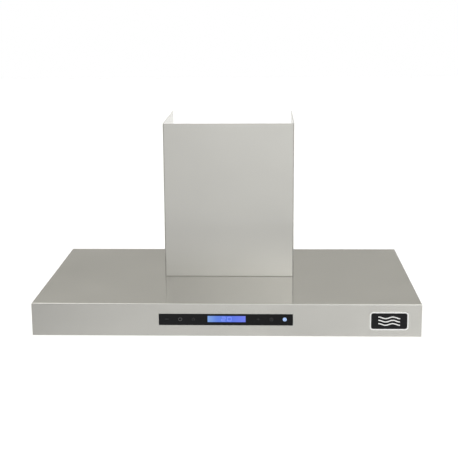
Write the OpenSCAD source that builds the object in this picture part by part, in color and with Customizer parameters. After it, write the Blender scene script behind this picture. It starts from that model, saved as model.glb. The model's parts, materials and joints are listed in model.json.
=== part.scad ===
// Wall-hung chimney range hood: a flat folded canopy with a telescoping chimney cover.
// +X is the hood's right-hand side, +Y points into the wall, +Z is up.
// The origin is on the wall, at the middle of the canopy's lower rear edge.

/* [Canopy] */
// Width of the canopy from side to side
canopy_w = 914; // [900:1:930]
// Depth of the canopy from the wall to its front face
canopy_d = 559; // [550:1:570]
// Height of the canopy's front face
canopy_h = 79; // [74:1:84]
// Thickness of the canopy's sheet steel
sheet = 1; // [0.8:0.1:1.2]
// Outside radius of the canopy's folds
fold_r = 2.5; // [1.5:0.1:3.5]
// Width of the hem folded in round the open underside
hem_w = 14; // [12:1:15]
// Outside radius of the small folds at the foot of the canopy and of the lower chimney cover
foot_fold_r = 1.2; // [1:0.1:1.4]
// Height of the recessed underside panel above the canopy's lower edge
recess = 20; // [18:1:22]
// Distance between the two wall screws (studs at 16 inches)
wall_pitch = 406.4; // [400:0.1:410]
// Radius of the wall screw holes
wall_hole_r = 4; // [3:0.5:5]

/* [Chimney] */
// Width of the lower chimney cover
chimney_w = 328; // [328:1:340]
// Depth of the lower chimney cover from the wall
chimney_d = 305; // [303:1:315]
// Height of the lower chimney cover above the canopy
chimney_h = 392; // [390:1:420]
// Thickness of the chimney sheet
chimney_t = 1; // [0.8:0.1:1]
// Height of the upper chimney cover
upper_h = 350; // [330:1:352]
// Gap between the fronts of the two chimney covers
chimney_gap = 1.5; // [1.2:0.1:2]
// Gap between the sides of the two chimney covers, which the wall bracket's ears share
side_gap = 2.5; // [2.4:0.1:3]

/* [Controls] */
// Length of the black glass touch strip
glass_w = 314; // [300:1:320]
// Height of the black glass touch strip
glass_h = 27; // [24:1:28]
// Height of the strip's middle above the canopy's lower edge
glass_z = 40.4; // [38:0.1:42]
// Length of the display window
display_w = 89; // [80:1:95]
// Distance of the display's middle to the right of the strip's middle
display_x = 2; // [-4:1:4]
// Height of the display window
display_h = 15; // [12:1:16]
// Distance of the innermost touch key from the middle of the strip
key_first = 76; // [70:1:80]
// Distance between neighbouring touch keys
key_pitch = 31; // [28:1:32]

/* [Badge] */
// Width of the blank badge
badge_w = 90; // [80:1:95]
// Height of the blank badge
badge_h = 44; // [40:1:48]
// Distance of the badge from the canopy's right-hand edge
badge_inset = 31; // [25:1:40]
// Width of the badge's bright rim
badge_rim = 3; // [2:0.5:4]
// Thickness of the badge
badge_t = 2.2; // [1.8:0.1:3]

/* [Filters] */
// Thickness of a baffle filter
filter_t = 12; // [11:0.5:13]
// Gap between neighbouring filters
filter_gap = 2; // [1.5:0.5:3]
// Width of one baffle vane
vane_w = 24; // [22:1:25]
// Distance between neighbouring vanes
vane_pitch = 34; // [33:1:34]

/* [Lamps] */
// Radius of the hole for each lamp
lamp_r = 30; // [28:1:32]
// Distance of each lamp from the middle of the canopy
lamp_x = 250; // [220:1:280]

/* [Blower] */
// Radius of the impeller
wheel_r = 80; // [76:1:81]
// Width of the impeller along its shaft
wheel_w = 112; // [100:1:114]
// Number of impeller blades
blade_count = 36; // [24:1:40]
// Radius of the motor's body
motor_r = 42; // [38:1:44]
// Radius of the motor's shaft
shaft_r = 4; // [3:0.5:5]

/* [Duct] */
// Outside radius of the duct collar, for 6 inch duct
collar_r = 74.6; // [74:0.1:75]
// Height of the duct collar's tube
collar_h = 46; // [42:1:50]
// Radius of the rod that the damper flaps swing on
rod_r = 2; // [1.8:0.1:2.2]

/* [Hidden] */
$fn = 48;

steel = [0.72, 0.72, 0.69];
inner_steel = [0.62, 0.63, 0.63];
zinc = [0.66, 0.68, 0.70];
black = [0.05, 0.05, 0.06];
plastic = [0.12, 0.12, 0.13];
bright = [0.9, 0.9, 0.9];

hair = 0.3;                       // gap between pieces that move past each other
cut = 1;                          // how far a cutting tool runs past the sheet
half_w = canopy_w / 2;
roof = canopy_h - sheet;          // underside of the canopy's top sheet
wall_hole_z = 50;
window_gap = 0.4;                 // gap round the glass strip
glass_t = 3;
glass_proud = 0.6;
display_rise = 1.5;               // how far the display's middle is above the strip's

// underside panel and its filter opening
side_strip = 13.5;
front_strip = 124.5;
liner_top = recess + sheet;
opening_w = canopy_w - 2 * (hem_w + side_strip);
opening_front = -(canopy_d - front_strip);
lip_h = 12;

// grease gutter along the back of the opening
gutter_front = -40;
gutter_back = -22;
gutter_depth = 7;

// baffle filters
filter_w = (opening_w - 3 - 2 * filter_gap) / 3;
filter_pitch = filter_w + filter_gap;
filter_lap = 8;                   // how far a filter reaches over the gutter
filter_back = gutter_front + filter_lap;
filter_front = opening_front + 2.5;
filter_l = filter_back - filter_front;
filter_z = liner_top + 0.5;
filter_sheet = 0.8;
filter_band = 12;                 // width of the filter's frame
lower_vanes = 8;
grip_r = 2.5;
grip_reach = 33;

// lamps
lamp_y = -(canopy_d - 64);
lamp_h = 22;
lamp_wall = 1.6;
lamp_cap_r = 9;
lamp_cap_h = 8;                   // height of the fins on a lamp's cap

// touch controls
glass_front = -canopy_d - glass_proud;
glass_back = glass_front + glass_t;
board_y = -(canopy_d - 9.5);
board_t = 1.6;
housing_end = 12;                 // how far the housing reaches past the glass at each end
housing_h = 19;                   // height of the housing's top above the strip's middle
housing_d = 15;
housing_t = 2;
control_cable_x = 120;
key_xs = [for (side = [-1, 1], k = [0:2]) side * (key_first + k * key_pitch)];
badge_corner = 8;
badge_drop = 0.7;                 // how far the badge's middle is below the front face's

// chimney covers
chimney_in = chimney_w / 2 - chimney_t;
flange_w = 12;
upper_w = 2 * (chimney_in - side_gap);
upper_front = chimney_d - chimney_t - chimney_gap;
upper_back = 3;                   // the upper cover's back edges stand off the wall
upper_z = canopy_h + chimney_t + 0.5;
bracket_h = 25;
lower_bracket_z = 365;
upper_bracket_z = upper_z + upper_h - bracket_h - 5;
bracket_t = 1.5;
ear_t = 1.1;
ear_l = 25;
bracket_pitch = 200;
bracket_hole_r = 2.75;

// blower
gasket_t = 2;
case_w = 296;
case_back = -10;
case_front = -288;
case_z = canopy_h + gasket_t;
case_h = 260;
foot_w = 14;
case_top = case_z + case_h;
intake_w = 240;
intake_front = -262;
intake_back = -38;
axle_y = -172;
axle_z = case_z + 128;
scroll_w = 130;
scroll_start = wheel_r + 8;
scroll_end = wheel_r + 36;
outlet_w = 106;
inlet_r = wheel_r - 6;
duct_y = axle_y + scroll_end - outlet_w / 2;
rod_z = case_top + 22;
collar_screw_r = collar_r + 10;   // distance of the flange screws from the duct's axis
flap_t = 1;
flap_drop = 3.3;                  // how far the flaps' undersides hang below the rod's axis
knuckle_r = 3.3;
knuckle_bore = rod_r + 0.08;
knuckle_l = 28;
motor_x = -60;                    // left end of the motor
motor_l = 48;
motor_plate = 2.5;                // thickness of the motor bracket
boss_r = motor_r * 0.45;          // radius of the motor's end bosses
bush_place = [120, -50];
bush_r = 6;
bush_bore = 3.75;
screw_r = 2;
hole_r = 2.2;
thread_r = screw_r + 0.02;
side_screw_y = -14;               // place of the screws through the chimney covers' sides
bracket_arms = [90, 210, 330];    // angles of the motor bracket's arms
collar_screws = [45:90:315];      // angles of the screws in the duct collar's flange

// electrics inside the canopy
power_low = [200, -280, 44];
power_high = [330, -140, roof];
power_board_z = 50;
cable_z = 60;                     // height of the cables where they enter the power box
cable_hole_r = 3.2;
cable_xs = [240, 280, 320];       // cables through the power box's front
motor_cable_y = -200;

// A box given by two opposite corners
module slab(low, high) {
    translate(low) cube([for (i = [0:2]) high[i] - low[i]]);
}

// The upper half of a rounded rectangle: square lower corners, radius r at the chosen upper ones
module round_shoulders(w, h, r, left = true, right = true) {
    translate([-w / 2, 0]) square([w, h - r]);
    translate([-w / 2 + (left ? r : 0), 0]) square([w - (left ? r : 0) - (right ? r : 0), h]);
    for (side = [-1, 1]) translate([side * (w / 2 - r), h - r]) circle(r);
}

// A block against the wall whose top edges are folded round at the front and both sides
module folded_block(w, d, h, r) {
    intersection() {
        rotate([90, 0, 0]) linear_extrude(d) round_shoulders(w, h, r);
        translate([-w / 2, 0, 0]) rotate([90, 0, 90]) linear_extrude(w)
            translate([-d / 2, 0]) round_shoulders(d, h, r, true, false);
    }
}

// The waste outside a fold of radius r: a bar along X whose square corner is the lower front edge
module fold_waste(l, r) {
    rotate([90, 0, 90]) translate([0, 0, -l / 2]) linear_extrude(l) difference() {
        translate([-cut, -cut]) square(r + cut);
        translate([r, r]) circle(r);
    }
}

// The waste round the foot of a block w wide and d deep that stands against the wall
module foot_waste(w, d, r) {
    translate([0, -d, 0]) fold_waste(w + 2 * cut, r);
    for (side = [0, 1]) mirror([side, 0, 0])
        translate([-w / 2, -d / 2, 0]) rotate([0, 0, -90]) fold_waste(d + 2 * cut, r);
}

// A rectangle with round corners, centred
module round_rect(w, h, r) {
    square([w - 2 * r, h], center = true);
    square([w, h - 2 * r], center = true);
    for (sx = [-1, 1], sy = [-1, 1]) translate([sx * (w / 2 - r), sy * (h / 2 - r)]) circle(r);
}

// A plate parallel to the front face: its outline is drawn in X and Z, its near face is at y
module front_plate(y, t) {
    translate([0, y + t, 0]) rotate([90, 0, 0]) linear_extrude(t) children();
}

// A round wire through a list of points
module wire(points, r) {
    for (i = [0:len(points) - 2]) hull() {
        translate(points[i]) sphere(r, $fn = 8);
        translate(points[i + 1]) sphere(r, $fn = 8);
    }
}

// A pan-head screw whose head sits on the XY plane and whose shank points down
module screw(r, l, head_r, head_h) {
    translate([0, 0, -l]) cylinder(r = r, h = l);
    difference() {
        cylinder(r = head_r, h = head_h);
        for (turn = [0, 90])
            rotate([0, 0, turn]) translate([-head_r * 0.6, -head_r * 0.12, head_h * 0.5])
                cube([head_r * 1.2, head_r * 0.24, head_h]);
    }
}

// Places of the screws that hold the blower case down
blower_screw_places = [for (x = [-1, 1], y = [-1:1])
    [x * (case_w / 2 - 7), (case_front + case_back) / 2 + y * 120]];

// Places of the screws in the lower chimney cover's foot
chimney_screw_places = concat(
    [for (x = [-110, 0, 110]) [x, -(chimney_d - chimney_t - 8)]],
    [for (side = [-1, 1], y = [-220, -60]) [side * (chimney_in - 8.5), y]]);

/* ---- canopy ---- */

module canopy_shell() {
    color(steel) difference() {
        union() {
            difference() {
                folded_block(canopy_w, canopy_d, canopy_h, fold_r);
                translate([0, cut, -cut])
                    folded_block(canopy_w - 2 * sheet, canopy_d - sheet + cut, roof + cut, fold_r - sheet);
            }
            slab([-half_w + sheet, -canopy_d + sheet, 0], [half_w - sheet, -canopy_d + hem_w, sheet]);
            for (side = [0, 1]) mirror([side, 0, 0])
                slab([half_w - hem_w, -canopy_d + sheet, 0], [half_w - sheet, 0, sheet]);
        }
        slab([-intake_w / 2, intake_front, roof - cut], [intake_w / 2, intake_back, canopy_h + cut]);
        slab([-glass_w / 2 - window_gap, -canopy_d - cut, glass_z - glass_h / 2 - window_gap],
             [glass_w / 2 + window_gap, -canopy_d + sheet + cut, glass_z + glass_h / 2 + window_gap]);
        for (p = concat(blower_screw_places, chimney_screw_places))
            translate([p.x, p.y, roof - cut]) cylinder(r = hole_r, h = sheet + 2 * cut);
        foot_waste(canopy_w, canopy_d, foot_fold_r);
    }
}

module canopy_back_panel() {
    inner = half_w - sheet;
    lip = 12;
    color(inner_steel) difference() {
        union() {
            difference() {
                rotate([90, 0, 0]) linear_extrude(lip) round_shoulders(2 * inner, roof, fold_r);
                translate([0, -sheet, -cut]) rotate([90, 0, 0]) linear_extrude(lip)
                    round_shoulders(2 * (inner - sheet), roof - sheet + cut, fold_r - sheet);
                slab([-half_w, -lip - cut, -cut], [half_w, cut, sheet]);
            }
            slab([-half_w + hem_w + hair, -hem_w, 0], [half_w - hem_w - hair, 0, sheet]);
        }
        for (side = [-1, 1]) translate([side * wall_pitch / 2, cut, wall_hole_z])
            rotate([90, 0, 0]) cylinder(r = wall_hole_r, h = sheet + 2 * cut);
        slab([-intake_w / 2, -lip - cut, roof - sheet - cut], [intake_w / 2, -sheet, roof + cut]);
    }
}

module underside_liner() {
    skirt_x = half_w - hem_w + sheet;
    skirt_front = -canopy_d + hem_w - sheet;
    skirt_back = -hem_w + sheet;
    color(inner_steel) difference() {
        union() {
            difference() {
                slab([-skirt_x, skirt_front, sheet], [skirt_x, skirt_back, liner_top]);
                slab([-skirt_x + sheet, skirt_front + sheet, 0],
                     [skirt_x - sheet, skirt_back - sheet, recess]);
            }
            slab([-opening_w / 2 - sheet, opening_front - sheet, recess],
                 [opening_w / 2 + sheet, gutter_front, liner_top + lip_h]);
        }
        slab([-opening_w / 2, opening_front, recess - cut],
             [opening_w / 2, gutter_back + hair, liner_top + lip_h + cut]);
        for (side = [-1, 1]) translate([side * lamp_x, lamp_y, recess - cut])
            cylinder(r = lamp_r, h = sheet + 2 * cut);
    }
}

module grease_gutter() {
    end_x = opening_w / 2 - hair;
    floor_z = liner_top - gutter_depth;
    color(inner_steel) {
        difference() {
            slab([-end_x, gutter_front, floor_z], [end_x, gutter_back, liner_top]);
            slab([-end_x + sheet, gutter_front + sheet, floor_z + sheet],
                 [end_x - sheet, gutter_back - sheet, liner_top + cut]);
        }
        slab([-end_x, gutter_back - sheet, liner_top], [end_x, -hem_w - sheet, liner_top + sheet]);
        slab([-end_x, gutter_back - sheet, liner_top - sheet], [end_x, gutter_back, liner_top + sheet]);
        for (side = [0, 1]) mirror([side, 0, 0]) {
            slab([end_x - sheet, gutter_front, liner_top - sheet], [end_x, gutter_back, liner_top + sheet]);
            slab([end_x - sheet, gutter_front + sheet, liner_top],
                 [end_x + 10, gutter_back, liner_top + sheet]);
        }
    }
}

// A spring clip that hooks over the front lip of the opening and bears on a filter's front edge
module filter_clip() {
    leaf = 0.6;
    top = liner_top + lip_h;
    back = opening_front - sheet;
    rotate([90, 0, 90]) translate([0, 0, -9]) linear_extrude(18) {
        translate([back - leaf, top - 9]) square([leaf, 9 + leaf]);
        translate([back - leaf, top]) square([sheet + 2 * leaf, leaf]);
        polygon([
            [opening_front, top + leaf], [opening_front, top - 2], [opening_front + 1.2, top - 6],
            [opening_front, top - 10], [opening_front + leaf, top - 10],
            [opening_front + 1.9, top - 6], [opening_front + leaf, top - 2],
            [opening_front + leaf, top + leaf]
        ]);
    }
}

module filter_clips() {
    color(bright) for (slot = [-1:1], side = [-1, 1])
        translate([slot * filter_pitch + side * filter_w / 4, 0, 0]) filter_clip();
}

/* ---- baffle filters ---- */

module at_slot(slot) {
    translate([slot * filter_pitch, (filter_front + filter_back) / 2, filter_z]) children();
}

// The filter's C-section frame, open inwards
module filter_frame(slot) {
    w = filter_w;
    color(steel) at_slot(slot) difference() {
        translate([-w / 2, -filter_l / 2, 0]) cube([w, filter_l, filter_t]);
        translate([-w / 2 + filter_band, -filter_l / 2 + filter_band, -cut])
            cube([w - 2 * filter_band, filter_l - 2 * filter_band, filter_t + 2 * cut]);
        translate([-w / 2 + filter_sheet, -filter_l / 2 + filter_sheet, filter_sheet])
            cube([w - 2 * filter_sheet, filter_l - 2 * filter_sheet, filter_t - 2 * filter_sheet]);
    }
}

// One vane: a channel along Y, open upwards, with its flat on the XY plane
module vane(wall_h) {
    t = 0.6;
    l = filter_l - 2 * filter_sheet - 1;
    rotate([90, 0, 0]) translate([0, 0, -l / 2]) linear_extrude(l) difference() {
        translate([-vane_w / 2, 0]) square([vane_w, wall_h]);
        translate([-vane_w / 2 + t, t]) square([vane_w - 2 * t, wall_h]);
    }
}

module filter_lower_vanes(slot) {
    color(steel) at_slot(slot) for (i = [0:lower_vanes - 1])
        translate([(i - (lower_vanes - 1) / 2) * vane_pitch, 0, filter_sheet]) vane(6.6);
}

module filter_upper_vanes(slot) {
    color(steel) at_slot(slot) for (i = [0:lower_vanes - 2])
        translate([(i - (lower_vanes - 2) / 2) * vane_pitch, 0, filter_t - filter_sheet])
            rotate([0, 180, 0]) vane(6.6);
}

// A bent rod handle under the filter's front rail
module filter_handle(slot) {
    bend = 6;
    drop = recess - grip_r - 2;
    color(bright) at_slot(slot) translate([0, -filter_l / 2 + filter_band / 2, 0]) {
        for (side = [0, 1]) mirror([side, 0, 0]) {
            translate([grip_reach, 0, -drop + bend]) cylinder(r = grip_r, h = drop - bend - 1);
            translate([grip_reach, 0, -1]) cylinder(r = 4.5, h = 1);
            translate([grip_reach - bend, 0, -drop + bend]) rotate([90, 90, 0])
                rotate_extrude(angle = 90) translate([bend, 0]) circle(grip_r);
        }
        translate([-grip_reach + bend, 0, -drop]) rotate([0, 90, 0])
            cylinder(r = grip_r, h = 2 * (grip_reach - bend));
    }
}

/* ---- lamps ---- */

module at_lamp(side) {
    translate([side * lamp_x, lamp_y, recess]) children();
}

module lamp_bezel(side) {
    color(bright) at_lamp(side) rotate_extrude() polygon([
        [lamp_r - 5, -2], [lamp_r + 3.5, -2], [lamp_r + 5, -0.8], [lamp_r + 5, 0],
        [lamp_r - 1.4, 0], [lamp_r - 1.4, -0.8], [lamp_r - 5, -0.8]
    ]);
}

module lamp_lens(side) {
    color("white") at_lamp(side) translate([0, 0, -0.8]) cylinder(r = lamp_r - 2.4, h = 2.6);
}

module lamp_housing(side) {
    outer = lamp_r - 0.4;
    color(zinc) at_lamp(side) {
        difference() {
            cylinder(r = outer, h = lamp_h);
            translate([0, 0, -cut]) cylinder(r = outer - lamp_wall, h = lamp_h - lamp_wall + cut);
        }
        translate([0, 0, lamp_h - 5]) cylinder(r = lamp_cap_r, h = 4);
        for (i = [-3:3]) translate([i * 7 - 0.75, -18, lamp_h - 0.5]) cube([1.5, 36, lamp_cap_h]);
    }
}

module lamp_springs() {
    color(bright) for (side = [-1, 1], end = [0, 1]) at_lamp(side)
        mirror([end, 0, 0]) {
            translate([lamp_r + 1, -5, sheet]) cube([0.8, 10, 13]);
            translate([lamp_r - 0.4, -5, sheet + 12.2]) cube([2.2, 10, 0.8]);
        }
}

/* ---- touch controls and badge ---- */

module control_glass() {
    color(black) front_plate(glass_front, glass_t) translate([0, glass_z]) difference() {
        round_rect(glass_w, glass_h, 1.2);
        translate([display_x, display_rise]) square([display_w, display_h], center = true);
    }
}

module control_display() {
    play = 0.1;
    color([0.2, 0.35, 0.95]) translate([display_x, 0, glass_z + display_rise]) {
        slab([-display_w / 2 + play, glass_front + 0.3, -display_h / 2 + play],
             [display_w / 2 - play, glass_back, display_h / 2 - play]);
        slab([-display_w / 2 - 3, glass_back, -8], [display_w / 2 + 3, board_y, 8]);
    }
}

module control_housing() {
    front = -canopy_d + sheet;
    end_x = glass_w / 2 + housing_end;
    play = 0.2;
    color(plastic) difference() {
        slab([-end_x, front, liner_top + 2 * play], [end_x, front + housing_d, glass_z + housing_h]);
        translate([0, 0, glass_z]) {
            slab([-glass_w / 2 - play, front - cut, -glass_h / 2 - play],
                 [glass_w / 2 + play, glass_back, glass_h / 2 + play]);
            slab([-glass_w / 2 + 4, front - cut, -glass_h / 2 + 1.5],
                 [glass_w / 2 - 4, front + housing_d - housing_t, glass_h / 2 - 1.5]);
        }
        translate([control_cable_x, front + housing_d + cut, glass_z]) rotate([90, 0, 0])
            cylinder(r = cable_hole_r, h = housing_t + 2 * cut);
    }
}

module control_board() {
    back = board_y + board_t;
    plug_l = 2.6;
    chip = [12, 1.2, 12];
    color([0.05, 0.3, 0.15]) {
        slab([-glass_w / 2 + 5, board_y, glass_z - 10.5], [glass_w / 2 - 5, back, glass_z + 10.5]);
        slab([control_cable_x - 10, back, glass_z - 4], [control_cable_x + 10, back + plug_l, glass_z + 4]);
        translate([-chip.x, back, glass_z - chip.z / 2]) cube(chip);
    }
}

module touch_springs() {
    reach = board_y - glass_back;
    color(bright) for (x = key_xs) translate([x, board_y, glass_z + 1]) rotate([90, 0, 0])
        difference() {
            cylinder(r = 4, h = reach);
            translate([0, 0, -cut]) cylinder(r = 3.4, h = reach + 2 * cut);
        }
}

// Outline of the plate inside the badge's rim
module badge_inside() {
    round_rect(badge_w - 2 * badge_rim, badge_h - 2 * badge_rim, badge_corner - badge_rim);
}

module at_badge() {
    translate([half_w - badge_inset - badge_w / 2, canopy_h / 2 - badge_drop]) children();
}

module badge_rim() {
    color(bright) front_plate(-canopy_d - badge_t, badge_t) at_badge() difference() {
        round_rect(badge_w, badge_h, badge_corner);
        badge_inside();
    }
}

module badge_plate() {
    color(black) front_plate(-canopy_d - badge_t + 0.6, badge_t - 0.6) at_badge() badge_inside();
}

/* ---- blower ---- */

// Outline of the blower case's foot
module case_foot() {
    difference() {
        translate([-case_w / 2, case_front]) square([case_w, case_back - case_front]);
        translate([-case_w / 2 + foot_w, case_front + foot_w])
            square([case_w - 2 * foot_w, case_back - case_front - 2 * foot_w]);
        for (p = blower_screw_places) translate(p) circle(hole_r);
    }
}

module blower_gasket() {
    color(black) translate([0, 0, canopy_h]) linear_extrude(gasket_t) case_foot();
}

module blower_case() {
    color(zinc) difference() {
        union() {
            translate([0, 0, case_z]) linear_extrude(sheet) case_foot();
            difference() {
                slab([-case_w / 2, case_front, case_z], [case_w / 2, case_back, case_top]);
                slab([-case_w / 2 + sheet, case_front + sheet, case_z - cut],
                     [case_w / 2 - sheet, case_back - sheet, case_top - sheet]);
            }
        }
        translate([0, duct_y, case_top - sheet - cut]) cylinder(r = collar_r - 4, h = sheet + 2 * cut);
        translate([bush_place.x, bush_place.y, case_top - sheet - cut])
            cylinder(r = bush_r + 0.2, h = sheet + 2 * cut);
        for (a = collar_screws) translate([0, duct_y, case_top - sheet - cut])
            rotate([0, 0, a]) translate([collar_screw_r, 0, 0]) cylinder(r = hole_r, h = sheet + 2 * cut);
    }
}

// Radius of the scroll at angle a, counted from its tongue round to the outlet
function scroll_radius(a) = scroll_start + (scroll_end - scroll_start) * a / 270;

// Outline of the scroll seen along +X: a spiral that opens into a straight outlet going up
module scroll_outline(inset) {
    steps = 30;
    spiral = [for (i = [0:steps]) let (a = 270 * i / steps, r = scroll_radius(a) - inset)
        [r * cos(90 + a), r * sin(90 + a)]];
    top = case_top - sheet - axle_z;
    polygon(concat(
        spiral,
        [[scroll_end - inset, top], [scroll_end - outlet_w + inset, top],
         [scroll_end - outlet_w + inset, scroll_start * 0.96 - 1.2 * inset]]));
}

module along_axle(x) {
    translate([x, axle_y, axle_z]) rotate([90, 0, 90]) children();
}

module blower_scroll() {
    color(zinc) along_axle(-scroll_w / 2) difference() {
        linear_extrude(scroll_w) scroll_outline(0);
        translate([0, 0, -cut]) linear_extrude(scroll_w + 2 * cut) scroll_outline(sheet);
        // the outlet is open at its top
        translate([scroll_end - outlet_w + sheet, case_top - sheet - axle_z - 5, -cut])
            cube([outlet_w - 2 * sheet, 10, scroll_w + 2 * cut]);
    }
}

module scroll_side(side) {
    color(zinc) along_axle(side * (scroll_w / 2 + sheet / 2) - sheet / 2) difference() {
        linear_extrude(sheet) scroll_outline(0);
        translate([0, 0, -cut]) cylinder(r = inlet_r, h = sheet + 2 * cut);
        if (side < 0) for (a = bracket_arms) rotate([0, 0, a])
            translate([inlet_r + 6, 0, -cut]) cylinder(r = hole_r, h = sheet + 2 * cut);
    }
}

module impeller() {
    blade_in = wheel_r - 15;
    ring_t = 3;
    color(inner_steel) along_axle(0) {
        for (z = [-wheel_w / 2, wheel_w / 2 - ring_t]) translate([0, 0, z]) difference() {
            cylinder(r = wheel_r, h = ring_t);
            translate([0, 0, -cut]) cylinder(r = blade_in, h = ring_t + 2 * cut);
        }
        translate([0, 0, -1]) difference() {
            union() {
                cylinder(r = wheel_r, h = 2);
                cylinder(r = 12, h = 14);
            }
            translate([0, 0, -cut]) cylinder(r = shaft_r + 0.02, h = 14 + 2 * cut);
        }
        translate([0, 0, -wheel_w / 2 + 1]) linear_extrude(wheel_w - 2)
            for (i = [0:blade_count - 1]) rotate(i * 360 / blade_count)
                translate([wheel_r - 7.5, 0]) rotate(38) square([14, 0.9], center = true);
    }
}

module motor_shaft() {
    color(bright) along_axle(motor_x - 4) cylinder(r = shaft_r, h = 80);
}

module motor_body() {
    color(zinc) along_axle(motor_x) difference() {
        union() {
            cylinder(r = motor_r, h = motor_l);
            translate([0, 0, motor_l]) cylinder(r = boss_r, h = 5);
            translate([0, 0, -4]) cylinder(r = boss_r, h = 4);
        }
        translate([0, 0, -5]) cylinder(r = shaft_r + 0.05, h = motor_l + 12);
        // cooling slots
        for (i = [0:11]) rotate([0, 0, i * 30])
            translate([motor_r - 2, -1.5, 8]) cube([4, 3, motor_l - 16]);
    }
}

// Three arms across the left inlet carry the motor
module motor_bracket() {
    start = -scroll_w / 2 - sheet - motor_plate;
    color(zinc) along_axle(start) {
        linear_extrude(motor_plate) difference() {
            union() {
                circle(boss_r + 10);
                for (a = bracket_arms) rotate(a)
                    translate([boss_r + 5, -6]) square([inlet_r + 7 - boss_r, 12]);
            }
            circle(boss_r + 0.2);
            for (a = bracket_arms) rotate(a) translate([inlet_r + 6, 0]) circle(hole_r);
        }
        // posts that the motor is fixed to
        for (a = bracket_arms) rotate([0, 0, a]) translate([motor_r - 8, -4, motor_plate / 2])
            cube([6, 8, motor_x - start - motor_plate / 2]);
    }
}

module motor_capacitor() {
    color(plastic) translate([-case_w / 2 + sheet + 20, -252, case_z + 40]) {
        cylinder(r = 17, h = 62);
        translate([-20, -6, 10]) cube([20, 12, 42]);
    }
}

/* ---- electrics inside the canopy ---- */

module power_box() {
    color(zinc) difference() {
        union() {
            slab(power_low, power_high);
            slab([power_low.x - 12, power_low.y + 20, roof - sheet],
                 [power_high.x + 12, power_high.y - 20, roof]);
        }
        slab([for (v = power_low) v + sheet], [power_high.x - sheet, power_high.y - sheet, roof + cut]);
        for (x = cable_xs) translate([x, power_low.y - cut, cable_z]) rotate([-90, 0, 0])
            cylinder(r = cable_hole_r, h = sheet + 2 * cut);
        translate([power_low.x - cut, motor_cable_y, cable_z]) rotate([0, 90, 0])
            cylinder(r = cable_hole_r, h = sheet + 2 * cut);
    }
}

module power_board() {
    floor_z = power_low.z + sheet;
    color([0.05, 0.3, 0.15]) translate([power_low.x, power_low.y, power_board_z]) {
        slab([6, 8, 0], [124, 90, board_t]);
        // relays, transformer, capacitors and the board's feet
        for (x = [10, 30, 50]) translate([x, 18, board_t]) cube([16, 20, 14]);
        translate([76, 18, board_t]) cube([38, 36, 16]);
        for (place = [[12, 65], [100, 75]]) translate([place.x, place.y, board_t]) cylinder(r = 6, h = 14);
        for (x = [12, 112], y = [14, 84])
            translate([x, y, floor_z - power_board_z]) cylinder(r = 3, h = power_board_z - floor_z);
    }
}

module lamp_driver() {
    color(plastic) slab([power_low.x + 8, power_high.y - 42, power_low.z + sheet],
                        [power_high.x - 8, power_high.y - 6, 68]);
}

module control_cable() {
    x = control_cable_x;
    color(black) wire([[x, board_y + 6.7, glass_z], [x, -canopy_d + 28, glass_z],
                       [x, -canopy_d + 48, 62], [cable_xs[0], -420, 64],
                       [cable_xs[0], power_low.y + 4, cable_z]], 2.5);
}

module lamp_cables() {
    start = recess + lamp_h + lamp_cap_h + 1.5;
    over = 69;                    // height of the left lamp's cable where it crosses the canopy
    color(black) {
        wire([[lamp_x, lamp_y, start], [lamp_x, lamp_y, cable_z], [cable_xs[1], -430, cable_z],
              [cable_xs[1], power_low.y + 4, cable_z]], 2);
        wire([[-lamp_x, lamp_y, start], [-lamp_x, lamp_y, over], [180, lamp_y, over],
              [cable_xs[2], -430, over - 3], [cable_xs[2], power_low.y + 4, cable_z]], 2);
    }
}

module motor_cable() {
    color(black) wire([[power_low.x + 4, motor_cable_y, cable_z], [120, -215, 68], [-100, -238, 68],
                       [-108, axle_y - 34, axle_z - 10],
                       [motor_x - 2.5, axle_y - 29, axle_z + 15]], 2.5);
}

module cord_bush() {
    color(black) translate([bush_place.x, bush_place.y, case_top]) difference() {
        union() {
            translate([0, 0, -6]) cylinder(r = bush_r, h = 6);
            cylinder(r = bush_r + 3, h = 3);
            translate([0, 0, 3]) cylinder(r = bush_r + 0.5, h = 8);
        }
        translate([0, 0, -7]) cylinder(r = bush_bore, h = 20);
    }
}

/* ---- duct collar and damper ---- */

module duct_collar() {
    wall = 0.8;
    color(zinc) translate([0, duct_y, case_top]) difference() {
        union() {
            cylinder(r = collar_r, h = collar_h);
            cylinder(r = collar_r + 17, h = sheet);
        }
        translate([0, 0, rod_z - case_top - flap_drop - hair]) cylinder(r = collar_r - wall, h = collar_h);
        translate([0, 0, -cut]) cylinder(r = collar_r - 4, h = collar_h);
        translate([0, 0, sheet])
            cylinder(r = collar_r - wall, h = rod_z - case_top - flap_drop - hair - 2 * sheet);
        translate([0, 0, rod_z - case_top]) rotate([90, 0, 0])
            translate([0, 0, -collar_r - 5]) cylinder(r = rod_r, h = 2 * collar_r + 10);
        for (a = collar_screws) rotate([0, 0, a])
            translate([collar_screw_r, 0, -cut]) cylinder(r = hole_r, h = sheet + 2 * cut);
    }
}

module damper_rod() {
    color(bright) translate([0, duct_y, rod_z]) rotate([90, 0, 0]) translate([0, 0, -collar_r])
        cylinder(r = rod_r, h = 2 * collar_r);
}

// The left half-round flap, on its own two hinge knuckles
module left_flap(starts) {
    flap_r = collar_r - 2.2;
    color(zinc) translate([0, duct_y, rod_z]) difference() {
        union() {
            translate([0, 0, -flap_drop]) intersection() {
                cylinder(r = flap_r, h = flap_t);
                slab([-flap_r - cut, -flap_r, -cut], [-4.2, flap_r, flap_t + cut]);
            }
            for (y = starts) {
                translate([0, y + knuckle_l, 0]) rotate([90, 0, 0]) cylinder(r = knuckle_r, h = knuckle_l);
                slab([-8, y, -flap_drop], [0, y + knuckle_l, -flap_drop + flap_t]);
            }
        }
        translate([0, collar_r, 0]) rotate([90, 0, 0]) cylinder(r = knuckle_bore, h = 2 * collar_r);
    }
}

module damper_flap_left() { left_flap([-59, 1]); }
module damper_flap_right() { mirror([1, 0, 0]) left_flap([-29, 31]); }

/* ---- chimney ---- */

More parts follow.
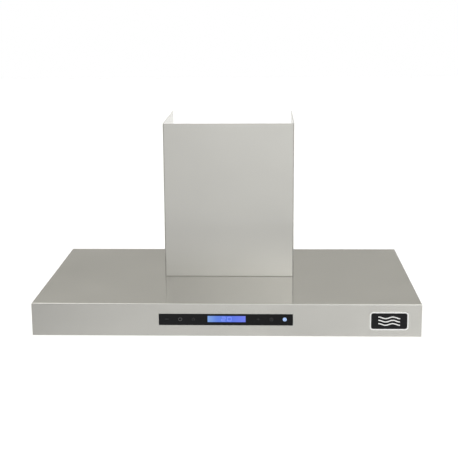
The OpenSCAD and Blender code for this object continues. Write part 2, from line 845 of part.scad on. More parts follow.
// A sheet folded round the front and both sides of the chimney, open at the wall
module cover_outline(w, d, r, t) {
    difference() {
        translate([0, -d / 2]) round_rect(w, d, r);
        translate([0, -d / 2]) round_rect(w - 2 * t, d - 2 * t, r - t);
        translate([-w, -d + t + r]) square([2 * w, d]);
    }
    for (side = [0, 1]) mirror([side, 0]) translate([w / 2 - t, -d + r]) square([t, d - r]);
}

// Holes across the sides at x, where a cover is screwed to the bracket at height z
module side_holes(x, z, r) {
    for (side = [-1, 1]) translate([side * x, side_screw_y, z + bracket_h / 2])
        rotate([0, 90, 0]) cylinder(r = r, h = 10, center = true);
}

module lower_chimney() {
    color(steel) difference() {
        union() {
            translate([0, 0, canopy_h]) linear_extrude(chimney_h)
                cover_outline(chimney_w, chimney_d, 2.5, chimney_t);
            slab([-chimney_in, -chimney_d + chimney_t, canopy_h],
                 [chimney_in, -chimney_d + chimney_t + flange_w, canopy_h + chimney_t]);
            for (side = [0, 1]) mirror([side, 0, 0])
                slab([chimney_in - flange_w, -chimney_d + chimney_t, canopy_h],
                     [chimney_in, 0, canopy_h + chimney_t]);
        }
        for (p = chimney_screw_places)
            translate([p.x, p.y, canopy_h - cut]) cylinder(r = hole_r, h = chimney_t + 2 * cut);
        side_holes(chimney_w / 2, lower_bracket_z, hole_r);
        translate([0, 0, canopy_h]) foot_waste(chimney_w, chimney_d, foot_fold_r);
    }
}

module upper_chimney() {
    color(steel) difference() {
        union() {
            translate([0, -upper_back, upper_z]) linear_extrude(upper_h)
                cover_outline(upper_w, upper_front - upper_back, 2.5, chimney_t);
            for (side = [0, 1]) mirror([side, 0, 0])
                slab([upper_w / 2 - flange_w, -upper_back - chimney_t, upper_z],
                     [upper_w / 2, -upper_back, upper_z + upper_h - bracket_h - 12]);
        }
        side_holes(upper_w / 2, upper_bracket_z, hole_r);
    }
}

// A strip screwed to the wall, with an ear at each end that a chimney cover is screwed to
module wall_bracket(half, z) {
    color(zinc) difference() {
        union() {
            slab([-half, -bracket_t, z], [half, 0, z + bracket_h]);
            for (side = [0, 1]) mirror([side, 0, 0])
                slab([half - ear_t, -ear_l, z], [half, 0, z + bracket_h]);
        }
        for (side = [-1, 1])
            translate([side * bracket_pitch / 2, cut, z + bracket_h / 2]) rotate([90, 0, 0])
                cylinder(r = bracket_hole_r, h = bracket_t + 2 * cut);
        side_holes(half, z, thread_r);
    }
}

module lower_bracket() { wall_bracket(chimney_in, lower_bracket_z); }
module upper_bracket() { wall_bracket(upper_w / 2 - chimney_t, upper_bracket_z); }

/* ---- screws ---- */

module blower_screws() {
    color(bright) {
        for (p = blower_screw_places)
            translate([p.x, p.y, roof]) rotate([180, 0, 0]) screw(screw_r, 8, 4, 2.2);
        for (a = collar_screws) translate([0, duct_y, case_top + sheet])
            rotate([0, 0, a]) translate([collar_screw_r, 0, 0]) screw(screw_r, 6, 3.6, 2.2);
        along_axle(-scroll_w / 2 - sheet - motor_plate) for (a = bracket_arms) rotate([0, 0, a])
            translate([inlet_r + 6, 0, 0]) rotate([180, 0, 0]) screw(screw_r, 6, 3.6, 2.2);
    }
}

module chimney_screws() {
    color(bright) for (p = chimney_screw_places)
        translate([p.x, p.y, canopy_h + chimney_t]) screw(screw_r, 6, 3.6, 2.2);
}

// Screws through the sides of a chimney cover into its bracket's ears
module side_screws(x, z, head_h) {
    color(bright) for (side = [-1, 1]) translate([side * x, side_screw_y, z + bracket_h / 2])
        rotate([0, side * 90, 0]) screw(screw_r, 3, 3.8, head_h);
}

module lower_bracket_screws() { side_screws(chimney_w / 2, lower_bracket_z, 2); }
module upper_bracket_screws() { side_screws(upper_w / 2, upper_bracket_z, 1.4); }

canopy_shell();
canopy_back_panel();
underside_liner();
grease_gutter();
filter_clips();
filter_frame(-1);  // filter_frame_left
filter_frame(0);  // filter_frame_centre
filter_frame(1);  // filter_frame_right
filter_lower_vanes(-1);  // filter_lower_vanes_left
filter_lower_vanes(0);  // filter_lower_vanes_centre
filter_lower_vanes(1);  // filter_lower_vanes_right
filter_upper_vanes(-1);  // filter_upper_vanes_left
filter_upper_vanes(0);  // filter_upper_vanes_centre
filter_upper_vanes(1);  // filter_upper_vanes_right
filter_handle(-1);  // filter_handle_left
filter_handle(0);  // filter_handle_centre
filter_handle(1);  // filter_handle_right
lamp_bezel(-1);  // lamp_bezel_left
lamp_bezel(1);  // lamp_bezel_right
lamp_lens(-1);  // lamp_lens_left
lamp_lens(1);  // lamp_lens_right
lamp_housing(-1);  // lamp_housing_left
lamp_housing(1);  // lamp_housing_right
lamp_springs();
control_glass();
control_display();
control_housing();
control_board();
touch_springs();
badge_rim();
badge_plate();
blower_gasket();
blower_case();
blower_scroll();
scroll_side(-1);  // scroll_side_left
scroll_side(1);  // scroll_side_right
impeller();
motor_shaft();
motor_body();
motor_bracket();
motor_capacitor();
power_box();
power_board();
lamp_driver();
control_cable();
lamp_cables();
motor_cable();
cord_bush();
duct_collar();
damper_rod();
damper_flap_left();
damper_flap_right();
lower_chimney();
upper_chimney();
lower_bracket();
upper_bracket();
blower_screws();
chimney_screws();
lower_bracket_screws();
upper_bracket_screws();
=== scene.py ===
"""Looks of a wall-hung chimney range hood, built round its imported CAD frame.

Metres, +X to the hood's right, +Y into the wall, +Z up, with the origin on the wall at the
canopy's lower rear edge.
"""
import json
import math

import bmesh
import bpy
from mathutils import Matrix, Vector


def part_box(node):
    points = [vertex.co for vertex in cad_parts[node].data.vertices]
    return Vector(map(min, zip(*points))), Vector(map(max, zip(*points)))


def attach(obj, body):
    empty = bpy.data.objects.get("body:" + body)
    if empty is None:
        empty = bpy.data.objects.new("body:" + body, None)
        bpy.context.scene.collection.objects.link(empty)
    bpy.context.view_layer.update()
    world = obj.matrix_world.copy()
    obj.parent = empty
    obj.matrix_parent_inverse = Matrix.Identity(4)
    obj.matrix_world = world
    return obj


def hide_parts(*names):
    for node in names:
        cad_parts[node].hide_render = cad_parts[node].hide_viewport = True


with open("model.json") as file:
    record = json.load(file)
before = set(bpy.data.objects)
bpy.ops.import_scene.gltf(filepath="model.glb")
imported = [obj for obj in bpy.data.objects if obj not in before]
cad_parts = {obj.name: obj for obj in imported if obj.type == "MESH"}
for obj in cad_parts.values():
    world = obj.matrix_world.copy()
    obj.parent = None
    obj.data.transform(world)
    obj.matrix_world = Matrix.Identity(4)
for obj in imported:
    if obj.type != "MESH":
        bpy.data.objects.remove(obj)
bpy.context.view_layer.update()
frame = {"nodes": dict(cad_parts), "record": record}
scene = bpy.context.scene
MM = 0.001


# ---- shader helpers ----

def add(tree, kind, inputs=None, **settings):
    """Adds a node. Each input takes a value or another node's output socket."""
    made = tree.nodes.new(kind)
    for key, value in settings.items():
        setattr(made, key, value)
    for key, value in (inputs or {}).items():
        if isinstance(value, bpy.types.NodeSocket):
            tree.links.new(value, made.inputs[key])
        else:
            made.inputs[key].default_value = value
    return made


def maths(tree, operation, *values):
    """The result of a Math node on up to three values or sockets."""
    return add(tree, "ShaderNodeMath", dict(enumerate(values)), operation=operation).outputs[0]


def ramp(tree, factor, *stops):
    """A colour ramp's output. Each stop is (position, (r, g, b))."""
    made = add(tree, "ShaderNodeValToRGB", {"Fac": factor})
    elements = made.color_ramp.elements
    while len(elements) < len(stops):
        elements.new(0.5)
    for element, (position, colour) in zip(elements, stops):
        element.position = position
        element.color = (*colour, 1.0)
    return made.outputs["Color"]


def span(tree, value, low, high, start=0.0, end=1.0):
    """value mapped from start..end to low..high."""
    inputs = {"Value": value, "From Min": start, "From Max": end, "To Min": low, "To Max": high}
    return add(tree, "ShaderNodeMapRange", inputs).outputs["Result"]


def noise(tree, scale, detail=3.0, stretch=(1, 1, 1)):
    """3-D noise from 0 to 1 in the object's own metres, scale features to the metre."""
    place = add(tree, "ShaderNodeTexCoord").outputs["Object"]
    mapped = add(tree, "ShaderNodeMapping", {"Vector": place, "Scale": stretch}).outputs["Vector"]
    inputs = {"Vector": mapped, "Scale": scale, "Detail": detail}
    return add(tree, "ShaderNodeTexNoise", inputs).outputs["Fac"]


def shades(colour, *factors):
    """The colour at several brightnesses, as evenly spaced stops for a ramp."""
    last = len(factors) - 1
    return [(i / last, tuple(c * f for c in colour)) for i, f in enumerate(factors)]


def finish(name, **sockets):
    """A new material and its tree. sockets are the Principled shader's constant values."""
    material = bpy.data.materials.new(name)
    material.use_nodes = True
    shader = material.node_tree.nodes["Principled BSDF"]
    for key, value in sockets.items():
        shader.inputs[key.replace("_", " ")].default_value = value
    return material, material.node_tree, shader.inputs


def bump(tree, height, strength, distance):
    """The normal of a surface with fine relief."""
    inputs = {"Height": height, "Strength": strength, "Distance": distance}
    return add(tree, "ShaderNodeBump", inputs).outputs["Normal"]


# ---- finishes ----

def brushed_steel(name, colour, roughness, stretch, grain=1500):
    """Sheet steel with brush lines; stretch is small along the lines."""
    material, tree, into = finish(name, Metallic=1.0, Anisotropic=1.0)
    lines = noise(tree, grain, 2.0, stretch)
    clouds = noise(tree, 7, 3.0)
    tone = maths(tree, "MULTIPLY_ADD", clouds, 0.55, maths(tree, "MULTIPLY", lines, 0.45))
    tree.links.new(ramp(tree, tone, *shades(colour, 0.95, 1.0, 1.04)), into["Base Color"])
    rough = span(tree, tone, roughness * 0.85, roughness * 1.15)
    tree.links.new(rough, into["Roughness"])
    tree.links.new(bump(tree, lines, 0.03, 0.05 * MM), into["Normal"])
    # reflections stretch across the brush lines, which run along X
    normal = add(tree, "ShaderNodeNewGeometry").outputs["Normal"]
    across = add(tree, "ShaderNodeVectorMath", {0: normal, 1: (1.0, 0.001, 0.0)},
                 operation="CROSS_PRODUCT").outputs["Vector"]
    tree.links.new(across, into["Tangent"])
    return material


def galvanised(name, colour):
    """Zinc-coated sheet with its crystal pattern."""
    material, tree, into = finish(name, Metallic=1.0)
    place = add(tree, "ShaderNodeTexCoord").outputs["Object"]
    cells = add(tree, "ShaderNodeTexVoronoi", {"Vector": place, "Scale": 110.0})
    crystal = add(tree, "ShaderNodeSeparateColor", {"Color": cells.outputs["Color"]})
    tone = maths(tree, "MULTIPLY_ADD", noise(tree, 240, 4.0), 0.4,
                 maths(tree, "MULTIPLY", crystal.outputs[0], 0.6))
    tree.links.new(ramp(tree, tone, *shades(colour, 0.82, 1.0, 1.12)), into["Base Color"])
    tree.links.new(span(tree, tone, 0.32, 0.52), into["Roughness"])
    tree.links.new(bump(tree, tone, 0.08, 0.1 * MM), into["Normal"])
    return material


def fine_metal(name, colour, roughness, relief, grain=900):
    """Cast, turned or plated metal with a fine even grain and faint handling marks."""
    material, tree, into = finish(name, Metallic=1.0)
    tone = maths(tree, "MULTIPLY_ADD", noise(tree, grain, 3.0), 0.5,
                 maths(tree, "MULTIPLY", noise(tree, 35, 3.0), 0.5))
    tree.links.new(ramp(tree, tone, *shades(colour, 0.92, 1.0, 1.04)), into["Base Color"])
    tree.links.new(span(tree, tone, roughness * 0.7, roughness * 1.3), into["Roughness"])
    tree.links.new(bump(tree, tone, relief, 0.05 * MM), into["Normal"])
    return material


def moulded(name, colour, roughness, relief, grain=1400, spread=0.27, **sockets):
    """Moulded plastic, rubber, foam or enamel with a fine texture; spread is its unevenness."""
    material, tree, into = finish(name, **sockets)
    tone = maths(tree, "MULTIPLY_ADD", noise(tree, grain, 4.0), 0.6,
                 maths(tree, "MULTIPLY", noise(tree, 60, 2.0), 0.4))
    tree.links.new(ramp(tree, tone, *shades(colour, 1 - spread, 1.0, 1 + spread)),
                   into["Base Color"])
    tree.links.new(span(tree, tone, roughness * 0.8, roughness * 1.2), into["Roughness"])
    tree.links.new(bump(tree, tone, relief, 0.1 * MM), into["Normal"])
    return material


def circuit_board(name):
    """Green solder mask over copper tracks."""
    material, tree, into = finish(name)
    place = add(tree, "ShaderNodeTexCoord").outputs["Object"]
    turned = add(tree, "ShaderNodeMapping",
                 {"Vector": place, "Rotation": (math.radians(90), 0.0, 0.0)}).outputs["Vector"]
    tracks = add(tree, "ShaderNodeTexBrick", {
        "Vector": turned, "Scale": 180.0, "Mortar Size": 0.09, "Mortar Smooth": 0.2,
        "Color1": (0.012, 0.10, 0.035, 1), "Color2": (0.016, 0.125, 0.045, 1),
        "Mortar": (0.04, 0.24, 0.09, 1)})
    tree.links.new(tracks.outputs["Color"], into["Base Color"])
    tree.links.new(span(tree, noise(tree, 300), 0.25, 0.4), into["Roughness"])
    tree.links.new(bump(tree, tracks.outputs["Fac"], 0.2, 0.05 * MM), into["Normal"])
    return material


def frosted(name):
    """Frosted lamp glass."""
    material, tree, into = finish(name, Transmission_Weight=0.25, IOR=1.49)
    tone = noise(tree, 500, 3.0)
    tree.links.new(ramp(tree, tone, *shades((0.86, 0.87, 0.85), 0.95, 1.0, 1.03)),
                   into["Base Color"])
    tree.links.new(span(tree, tone, 0.3, 0.45), into["Roughness"])
    tree.links.new(bump(tree, tone, 0.15, 0.1 * MM), into["Normal"])
    return material


def lit(name, strength, *stops, cell=0.9 * MM):
    """A backlit panel: its colour runs along X over the display's width, under a faint grid."""
    material, tree, into = finish(name, Roughness=0.25, Emission_Strength=strength)
    low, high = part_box("control_display")
    place = add(tree, "ShaderNodeTexCoord").outputs["Object"]
    axes = add(tree, "ShaderNodeSeparateXYZ", {"Vector": place}).outputs
    share = span(tree, axes["X"], 0.0, 1.0, low.x, high.x)
    waves = [maths(tree, "SINE", maths(tree, "MULTIPLY", axes[axis], math.tau / cell))
             for axis in ("X", "Z")]
    grid = maths(tree, "MULTIPLY", *waves)
    shifted = maths(tree, "MULTIPLY_ADD", grid, 0.03, share)
    colour = ramp(tree, shifted, *stops)
    tree.links.new(colour, into["Emission Color"])
    dim = add(tree, "ShaderNodeVectorMath", {0: colour, "Scale": 0.2}, operation="SCALE")
    tree.links.new(dim.outputs["Vector"], into["Base Color"])
    return material


STEEL = (0.62, 0.612, 0.575)
ALONG_X = (0.004, 1.0, 1.0)
ALONG_Y = (1.0, 0.004, 1.0)

finishes = {
    "canopy_steel": brushed_steel("canopy_steel", STEEL, 0.2, ALONG_X),
    "chimney_steel": brushed_steel("chimney_steel", STEEL, 0.2, ALONG_X),
    "liner_steel": brushed_steel("liner_steel", (0.56, 0.56, 0.54), 0.28, ALONG_X),
    "filter_steel": brushed_steel("filter_steel", (0.64, 0.64, 0.62), 0.24, ALONG_Y),
    "zinc_sheet": galvanised("zinc_sheet", (0.52, 0.54, 0.56)),
    "aluminium": fine_metal("aluminium", (0.66, 0.67, 0.68), 0.42, 0.25),
    "bright_metal": fine_metal("bright_metal", (0.86, 0.86, 0.85), 0.12, 0.02),
    "black_glass": moulded("black_glass", (0.004, 0.004, 0.005), 0.06, 0.0, 300,
                           Specular_IOR_Level=0.3),
    "display": lit("display", 0.78, (0.0, (0.24, 0.42, 0.80)), (0.25, (0.12, 0.24, 0.80)),
                   (0.6, (0.10, 0.19, 0.84)), (1.0, (0.17, 0.22, 0.90))),
    "lens": frosted("lens"),
    "black_plastic": moulded("black_plastic", (0.028, 0.028, 0.032), 0.5, 0.3),
    "board": circuit_board("board"),
    "black_rubber": moulded("black_rubber", (0.02, 0.02, 0.021), 0.8, 0.4, 700),
    "badge_steel": brushed_steel("badge_steel", (0.93, 0.93, 0.92), 0.2, ALONG_X),
    "badge_black": moulded("badge_black", (0.010, 0.010, 0.012), 0.2, 0.02, 500,
                           Specular_IOR_Level=0.25),
}
marks = {
    "faint": moulded("key_print_faint", (0.035, 0.035, 0.035), 0.4, 0.0),
    "dim": moulded("key_print", (0.13, 0.13, 0.13), 0.4, 0.0),
    "bright": lit("key_light", 1.15, (0.0, (0.50, 0.68, 1.0)), (1.0, (0.45, 0.62, 1.0))),
    "segment": lit("display_segment", 1.0, (0.0, (0.27, 0.33, 1.0)), (1.0, (0.27, 0.33, 1.0))),
}

for part in frame["record"]["subparts"]:
    for material_slot in frame["nodes"][part["node"]].material_slots:
        material_slot.material = finishes[part["material_slot"]]
# the rim shares its slot with plated pieces, but is brushed
frame["nodes"]["badge_rim"].material_slots[0].material = finishes["badge_steel"]


# ---- piece helpers ----

def keep(obj, body, slot, material, *replaced):
    """Gives a new piece its finish and its body, and hides the CAD nodes that it stands for."""
    if obj.name not in scene.collection.objects:
        scene.collection.objects.link(obj)
    obj.data.materials.append(material)
    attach(obj, body)
    if replaced:
        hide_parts(*replaced)
    return obj


def mesh_piece(name, bm, smooth=False):
    """An object from a bmesh, with its normals outwards."""
    bmesh.ops.recalc_face_normals(bm, faces=bm.faces)
    mesh = bpy.data.meshes.new(name)
    bm.to_mesh(mesh)
    bm.free()
    if smooth:
        mesh.shade_smooth()
    return bpy.data.objects.new(name, mesh)


LEAST_MITRE = 0.4           # share of its width that a line keeps at its sharpest corners


def stroke(bm, points, width, front, thickness, closed=False):
    """A flat line of constant width through points (x, z), as a closed solid facing -Y."""
    count = len(points)
    flat = [Vector(p) for p in points]
    sides = []
    for i, here in enumerate(flat):
        before = flat[i - 1] if closed or i else here
        after = flat[(i + 1) % count] if closed or i < count - 1 else here
        a = (here - before).normalized() if here != before else (after - here).normalized()
        b = (after - here).normalized() if here != after else a
        mid = Vector((-(a + b).y, (a + b).x)).normalized()
        reach = width / 2 / max(LEAST_MITRE, mid.dot(Vector((-a.y, a.x))))
        sides.append([bm.verts.new((p.x, y, p.y)) for y in (front, front + thickness)
                      for p in (here + mid * reach, here - mid * reach)])
    for i in range(count if closed else count - 1):
        near, far = sides[i], sides[(i + 1) % count]
        for a, b in ((0, 1), (1, 3), (3, 2), (2, 0)):
            bm.faces.new((near[a], near[b], far[b], far[a]))
    if not closed:
        for end in (sides[0], sides[-1]):
            bm.faces.new((end[0], end[1], end[3], end[2]))


def arc(x, z, radius, start=0.0, end=360.0, steps=32):
    """Points on a circle round (x, z), from start to end in degrees."""
    angles = [math.radians(start + (end - start) * i / steps) for i in range(steps + 1)]
    points = [(x + radius * math.cos(a), z + radius * math.sin(a)) for a in angles]
    return points[:-1] if end - start == 360 else points


def tube(name, lines, radius, smooth_order=4):
    """A round wire along each line of points, as one curve piece."""
    curve = bpy.data.curves.new(name, "CURVE")
    curve.dimensions = "3D"
    curve.bevel_depth = radius
    curve.bevel_resolution = 4
    curve.use_fill_caps = True
    for points in lines:
        spline = curve.splines.new("NURBS")
        spline.points.add(len(points) - 1)
        for spot, place in zip(spline.points, points):
            spot.co = (*place, 1.0)
        spline.order_u = min(smooth_order, len(points))
        spline.use_endpoint_u = True
        spline.resolution_u = 8
    return bpy.data.objects.new(name, curve)


def lathe(name, profile, centre, steps=72):
    """A solid of revolution about the vertical through centre; profile is (radius, height)."""
    bm = bmesh.new()
    rings = []
    for r, z in profile:
        if r == 0:
            rings.append([bm.verts.new((centre.x, centre.y, centre.z + z))])
            continue
        rings.append([bm.verts.new((centre.x + r * math.cos(math.tau * i / steps),
                                    centre.y + r * math.sin(math.tau * i / steps),
                                    centre.z + z)) for i in range(steps)])
    for low, high in zip(rings, rings[1:]):
        for i in range(steps):
            j = (i + 1) % steps
            corners = [low[i % len(low)], low[j % len(low)], high[j % len(high)], high[i % len(high)]]
            bm.faces.new(list(dict.fromkeys(corners)))
    return mesh_piece(name, bm, smooth=True)


# ---- touch strip, display and badge ----

PRINT = 0.05 * MM           # thickness of a printed mark
KEY_FIRST = 76 * MM         # distance of the innermost touch key from the middle of the strip
SPRING_RADIUS = 4 * MM      # outside radius of a touch key's contact spring
glass_low, glass_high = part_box("control_glass")
glass_z = (glass_low.z + glass_high.z) / 2
screen_low, screen_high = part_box("control_display")
plate_low, plate_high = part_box("badge_plate")


def mark_piece(name, lines, width, front, finish_name, slot):
    """A printed or lit mark on the front; lines are (points, closed)."""
    bm = bmesh.new()
    for points, closed in lines:
        stroke(bm, points, width, front, PRINT, closed)
    return keep(mesh_piece(name, bm), "hood", slot, marks[finish_name])


def key_row():
    """Places of one side's three touch keys, as distances along X, and the keys' height."""
    low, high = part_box("touch_springs")
    pitch = (high.x - SPRING_RADIUS - KEY_FIRST) / 2
    return [KEY_FIRST + k * pitch for k in range(3)], (low.z + high.z) / 2


def power_icon(x, z, r):
    return [(arc(x, z, r, 125, 415), False), ([(x, z + r * 0.2), (x, z + r * 1.2)], False)]


def plus_icon(x, z, r):
    return [([(x - r, z), (x + r, z)], False), ([(x, z - r), (x, z + r)], False)]


def minus_icon(x, z, r):
    return [([(x - r, z), (x + r, z)], False)]


def clock_icon(x, z, r):
    return [(arc(x, z, r), True), ([(x, z + r * 0.6), (x, z), (x + r * 0.5, z)], False)]


def fan_icon(x, z, r):
    return [(arc(x + r * 0.5 * math.cos(t), z + r * 0.5 * math.sin(t), r * 0.42), True)
            for t in (math.radians(90 + 120 * k) for k in range(3))]


def touch_marks():
    """Five faint printed keys and the lit one at the right-hand end."""
    places, z = key_row()
    icons = {-3: (minus_icon, 4.5, "faint"), -2: (power_icon, 4.2, "dim"),
             -1: (fan_icon, 3.6, "faint"), 1: (plus_icon, 3.6, "faint"),
             2: (clock_icon, 3.8, "faint")}
    for key, (icon, radius, print_name) in icons.items():
        x = math.copysign(places[abs(key) - 1], key)
        mark_piece(f"touch_mark_{key + 4}", icon(x, z, radius * MM), 0.9 * MM,
                   glass_low.y - PRINT, print_name, "black_glass")
    glow = [(arc(places[2], z, 3.6 * MM), True), (arc(places[2], z, 1.0 * MM), True)]
    mark_piece("touch_light", glow, 1.7 * MM, glass_low.y - PRINT, "bright", "display")


SEGMENTS = {  # corners of a digit on a grid one wide and two high, by segment
    "a": ((0, 2), (1, 2)), "b": ((1, 2), (1, 1)), "c": ((1, 1), (1, 0)), "d": ((0, 0), (1, 0)),
    "e": ((0, 1), (0, 0)), "f": ((0, 2), (0, 1)), "g": ((0, 1), (1, 1))}


def display_digits():
    """The figures 2 and 0 in seven segments."""
    width, height, gap = 8.4 * MM, 4.6 * MM, 0.55 * MM
    middle = (screen_low + screen_high) / 2
    lines = []
    for figure, left in (("abged", -11.5 * MM), ("abcdef", 2.5 * MM)):
        for name in figure:
            ends = [Vector((middle.x + left + u * width, middle.z + (v - 1) * height))
                    for u, v in SEGMENTS[name]]
            trim = (ends[1] - ends[0]).normalized() * gap
            lines.append(([tuple(ends[0] + trim), tuple(ends[1] - trim)], False))
    mark_piece("display_digits", lines, 1.1 * MM, screen_low.y - PRINT, "segment", "display")


def badge_motif():
    """Three plain waves for rising air, in bright metal on the black plate."""
    bm = bmesh.new()
    middle = (plate_low + plate_high) / 2
    reach = (plate_high.x - plate_low.x) * 0.3
    for row in (-1, 0, 1):
        height = middle.z + row * 8 * MM
        points = [(middle.x + reach * t, height + 2 * MM * math.sin(t * math.tau * 0.75))
                  for t in (i / 24 - 1 for i in range(49))]
        stroke(bm, points, 2.6 * MM, plate_low.y - 0.3 * MM, 0.4 * MM)
    keep(mesh_piece("badge_motif", bm), "hood", "bright_metal", finishes["badge_steel"])


# ---- lamps, springs and cables ----

def lamp_glass(side):
    """A shallow dome with rings, in the place of a lamp's lens."""
    low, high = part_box(f"lamp_lens_{side}")
    r, h = (high.x - low.x) / 2, high.z - low.z
    rings, step, dome, groove = 9, 0.09, 0.9 * MM, 0.25 * MM
    crown = [(r * (1 - step * i), -dome * i / rings - (groove if i % 2 else 0.0))
             for i in range(1, rings + 1)]
    profile = [(0, h), (r, h), (r, 0.0), *crown, (0, -1.0 * MM)]
    centre = Vector(((low.x + high.x) / 2, (low.y + high.y) / 2, low.z))
    keep(lathe(f"lamp_glass_{side}", profile, centre), "hood", "lens", finishes["lens"],
         f"lamp_lens_{side}")


def touch_coils():
    """The touch keys' contact springs as real coils."""
    low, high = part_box("touch_springs")
    radius, wire, turns, steps = 3.6 * MM, 0.3 * MM, 5, 16
    start, length = low.y + wire, high.y - low.y - 2 * wire
    places, z = key_row()
    lines = []
    for side in (-1, 1):
        for place in places:
            lines.append([(side * place + radius * math.cos(math.tau * i / steps),
                           start + length * i / (steps * turns),
                           z + radius * math.sin(math.tau * i / steps))
                          for i in range(steps * turns + 1)])
    keep(tube("touch_coils", lines, wire), "hood", "bright_metal", finishes["bright_metal"],
         "touch_springs")


def cables():
    """The leads inside the hood as smooth round sheaths, along the same routes as in the frame."""
    box_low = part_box("power_box")[0]
    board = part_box("control_board")[1]
    entry_y, entry_z = box_low.y + 4 * MM, box_low.z + 16 * MM
    plug = Vector((120 * MM, board.y + 2.5 * MM, glass_z))
    lamp_low, lamp_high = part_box("lamp_housing_right")
    lamp_x, lamp_y = (lamp_low.x + lamp_high.x) / 2, (lamp_low.y + lamp_high.y) / 2
    lamp_top = lamp_high.z
    motor_low, motor_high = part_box("motor_body")
    motor_y, motor_z = (motor_low.y + motor_high.y) / 2, (motor_low.z + motor_high.z) / 2
    routes = {
        "control_lead": ("control_cable", 2.5 * MM, [[
            plug, plug + Vector((0, 12 * MM, 0)), (plug.x, -511 * MM, 62 * MM),
            (240 * MM, -420 * MM, 64 * MM), (240 * MM, -300 * MM, entry_z),
            (240 * MM, entry_y, entry_z)]]),
        "lamp_leads": ("lamp_cables", 2 * MM, [
            [(lamp_x, lamp_y, lamp_top + 1.5 * MM), (lamp_x, lamp_y, entry_z),
             (280 * MM, -430 * MM, entry_z), (280 * MM, entry_y, entry_z)],
            [(-lamp_x, lamp_y, lamp_top + 1.5 * MM), (-lamp_x, lamp_y, 69 * MM),
             (180 * MM, lamp_y, 69 * MM), (320 * MM, -430 * MM, 66 * MM),
             (320 * MM, -300 * MM, entry_z), (320 * MM, entry_y, entry_z)]]),
        "motor_lead": ("motor_cable", 2.5 * MM, [[
            (box_low.x + 4 * MM, -200 * MM, entry_z), (180 * MM, -202 * MM, entry_z + 1 * MM),
            (120 * MM, -215 * MM, 68 * MM), (-100 * MM, -238 * MM, 68 * MM),
            (-108 * MM, motor_y - 34 * MM, motor_z - 10 * MM),
            (motor_low.x + 1.5 * MM, motor_y - 29 * MM, motor_z + 15 * MM)]])}
    for name, (node, radius, lines) in routes.items():
        keep(tube(name, lines, radius, 3), "hood", "black_rubber", finishes["black_rubber"], node)


touch_marks()
display_digits()
badge_motif()
touch_coils()
cables()
for side_name in ("left", "right"):
    lamp_glass(side_name)


# ---- floor, light and camera ----

FLOOR_Z = -1.65             # the hood hangs this far above the floor


def floor():
    """A pale studio floor below the hanging hood."""
    bm = bmesh.new()
    corners = [(-30, -4), (30, -4), (30, 30), (-30, 30)]
    bm.faces.new([bm.verts.new((x, y, FLOOR_Z)) for x, y in corners])
    obj = mesh_piece("floor", bm)
    scene.collection.objects.link(obj)
    obj.data.materials.append(moulded("floor", (0.93, 0.93, 0.93), 0.9, 0.0, 4, 0.01))


LIGHTS = [  # azimuth from the front towards +X, elevation, width and height in degrees, strength
    (-8, -25, 7, 14, 0.31),
    (16, -25, 7, 14, 1.0),
    (-8, 0, 7, 14, 0.31),
    (0, 0, 7, 14, 0.36),
    (-9, 12, 4, 8, 0.34),
    (1, 12, 4, 8, 0.93),
    (9, 12, 4, 8, 1.86),
    (0, 25, 7, 14, 0.45),
    (8, 25, 7, 14, 0.28),
    (-90, 10, 30, 18, 0.45),
    (90, 10, 30, 18, 0.45),
    (-90, 64, 40, 14, 3.8),
    (90, 64, 40, 14, 3.8),
    (0, 78, 60, 10, 0.8),
    (180, 32, 24, 10, 0.9)]
DIM_ROOM = 0.1              # light from everywhere else


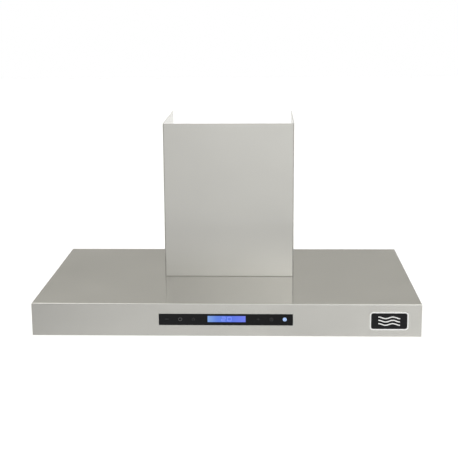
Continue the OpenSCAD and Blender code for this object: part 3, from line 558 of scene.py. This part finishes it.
def soft_light(tree, axes, azimuth, elevation, width, height, strength):
    """One soft patch of light in the surroundings, bell-shaped both ways."""
    aim = math.radians(azimuth)
    ahead = maths(tree, "MULTIPLY_ADD", axes["X"], math.sin(aim),
                  maths(tree, "MULTIPLY", axes["Y"], -math.cos(aim)))
    aside = maths(tree, "MULTIPLY_ADD", axes["X"], math.cos(aim),
                  maths(tree, "MULTIPLY", axes["Y"], math.sin(aim)))
    turn = maths(tree, "DIVIDE", maths(tree, "ARCTAN2", aside, ahead), math.radians(width))
    rise = maths(tree, "DIVIDE", maths(tree, "SUBTRACT", maths(tree, "ARCSINE", axes["Z"]),
                                       math.radians(elevation)), math.radians(height))
    spread = maths(tree, "MULTIPLY_ADD", turn, turn, maths(tree, "MULTIPLY", rise, rise))
    bell = maths(tree, "EXPONENT", maths(tree, "MULTIPLY", spread, -0.5))
    return maths(tree, "MULTIPLY", bell, strength)


def studio_light():
    """Soft lights all round that only the hood and the floor see; the camera sees plain white."""
    world = bpy.data.worlds.new("studio")
    scene.world = world
    world.use_nodes = True
    tree = world.node_tree
    tree.nodes.clear()
    direction = add(tree, "ShaderNodeTexCoord").outputs["Generated"]
    axes = add(tree, "ShaderNodeSeparateXYZ", {"Vector": direction}).outputs
    total = DIM_ROOM
    for light in LIGHTS:
        total = maths(tree, "ADD", soft_light(tree, axes, *light), total)
    tint = ramp(tree, span(tree, axes["Y"], 0.0, 1.0, -0.2, 0.5),
                (0.0, (1.0, 1.0, 1.0)), (1.0, (1.0, 0.985, 0.93)))
    surround = add(tree, "ShaderNodeBackground", {"Color": tint, "Strength": total})
    plain = add(tree, "ShaderNodeBackground", {"Color": (1, 1, 1, 1), "Strength": 1.0})
    seen = add(tree, "ShaderNodeLightPath").outputs["Is Camera Ray"]
    mixed = add(tree, "ShaderNodeMixShader", {0: seen, 1: surround.outputs[0], 2: plain.outputs[0]})
    add(tree, "ShaderNodeOutputWorld", {"Surface": mixed.outputs[0]})


def camera():
    """The photograph's viewpoint: 3 m in front of the wall, looking slightly down."""
    data = bpy.data.cameras.new("camera")
    data.sensor_width = 36.0
    data.lens = 85.1
    yaw, pitch, roll = (math.radians(a) for a in (-2.014, 12.135, -0.367))
    obj = bpy.data.objects.new("camera", data)
    obj.matrix_world = (
        Matrix.Translation((0.09458, -2.99143, 0.78086))
        @ Matrix.Rotation(-yaw, 4, "Z")
        @ Matrix.Rotation(math.pi / 2 - pitch, 4, "X")
        @ Matrix.Rotation(roll, 4, "Z"))
    scene.collection.objects.link(obj)
    scene.camera = obj


floor()
studio_light()
camera()
scene.view_settings.view_transform = "Standard"
